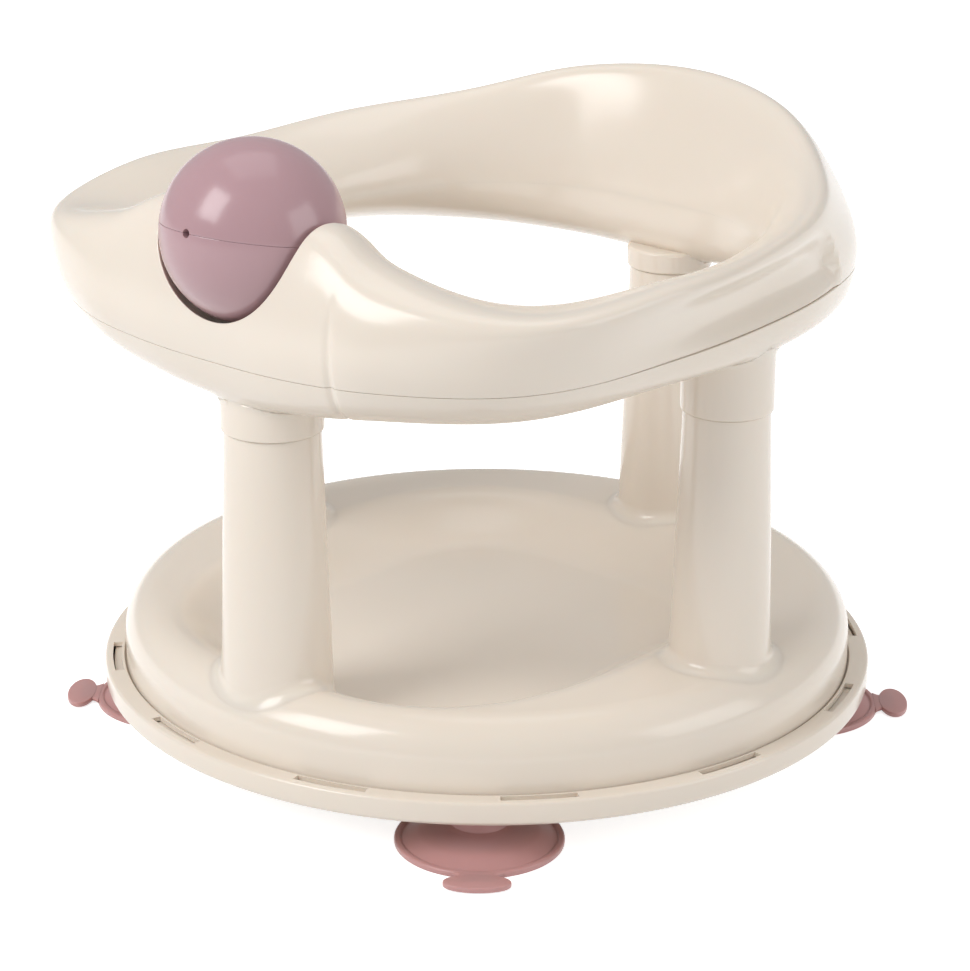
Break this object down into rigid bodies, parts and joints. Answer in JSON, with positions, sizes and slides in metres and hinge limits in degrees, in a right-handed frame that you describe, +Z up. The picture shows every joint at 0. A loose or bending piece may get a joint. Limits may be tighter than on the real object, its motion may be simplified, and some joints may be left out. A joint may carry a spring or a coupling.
{
  "type": "baby bath ring",
  "caption": "Swivelling bath seat on suction cups: a dished disc with hollow posts carries a moulded chest ring with a rolling play ball at the front.",
  "frame": {"origin": "middle of the footprint on the tub floor, 5.1 mm in front of the swivel axis", "axes": "+Z up, -Y towards the ball at the front, +X to the seated child's left hand side when it faces the ball"},
  "size_m": [0.345, 0.3552, 0.2909],
  "materials": {
    "cream_plastic": "gloss",
    "pink_plastic": "gloss",
    "pink_rubber": "satin",
    "steel": "satin"
  },
  "bodies": {
    "base": {"base_tray": "cream_plastic"},
    "seat": {"seat_disc": "cream_plastic", "swivel_washer": "steel", "swivel_screw": "steel", "ring_lower_shell": "cream_plastic", "ring_upper_shell": "cream_plastic", "ball_axle": "steel", "post_screw_front": "steel", "post_screw_right": "steel", "post_screw_back": "steel", "post_screw_left": "steel", "ring_screw_1": "steel", "ring_screw_2": "steel", "ring_screw_3": "steel", "ring_screw_4": "steel"},
    "ball": {"ball_upper_half": "pink_plastic", "ball_lower_half": "pink_plastic"},
    "cup_1": {"suction_cup_1": "pink_rubber"},
    "cup_2": {"suction_cup_2": "pink_rubber"},
    "cup_3": {"suction_cup_3": "pink_rubber"},
    "cup_4": {"suction_cup_4": "pink_rubber"}
  },
  "joints": [
    {"name": "seat_swivel", "type": "hinge", "parent": "base", "child": "seat", "pos_m": [0, 0.0051, 0.026], "axis": [0, 0, 1], "continuous": true},
    {"name": "ball_roll", "type": "hinge", "parent": "seat", "child": "ball", "pos_m": [0, -0.1399, 0.2532], "axis": [1, 0, 0], "continuous": true},
    {"name": "cup_1_turn", "type": "hinge", "parent": "base", "child": "cup_1", "pos_m": [0.0905, -0.10524, 0.02], "axis": [0, 0, 1], "continuous": true},
    {"name": "cup_2_turn", "type": "hinge", "parent": "base", "child": "cup_2", "pos_m": [0.11034, 0.0956, 0.02], "axis": [0, 0, 1], "continuous": true},
    {"name": "cup_3_turn", "type": "hinge", "parent": "base", "child": "cup_3", "pos_m": [-0.0905, 0.11544, 0.02], "axis": [0, 0, 1], "continuous": true},
    {"name": "cup_4_turn", "type": "hinge", "parent": "base", "child": "cup_4", "pos_m": [-0.11034, -0.0854, 0.02], "axis": [0, 0, 1], "continuous": true}
  ]
}
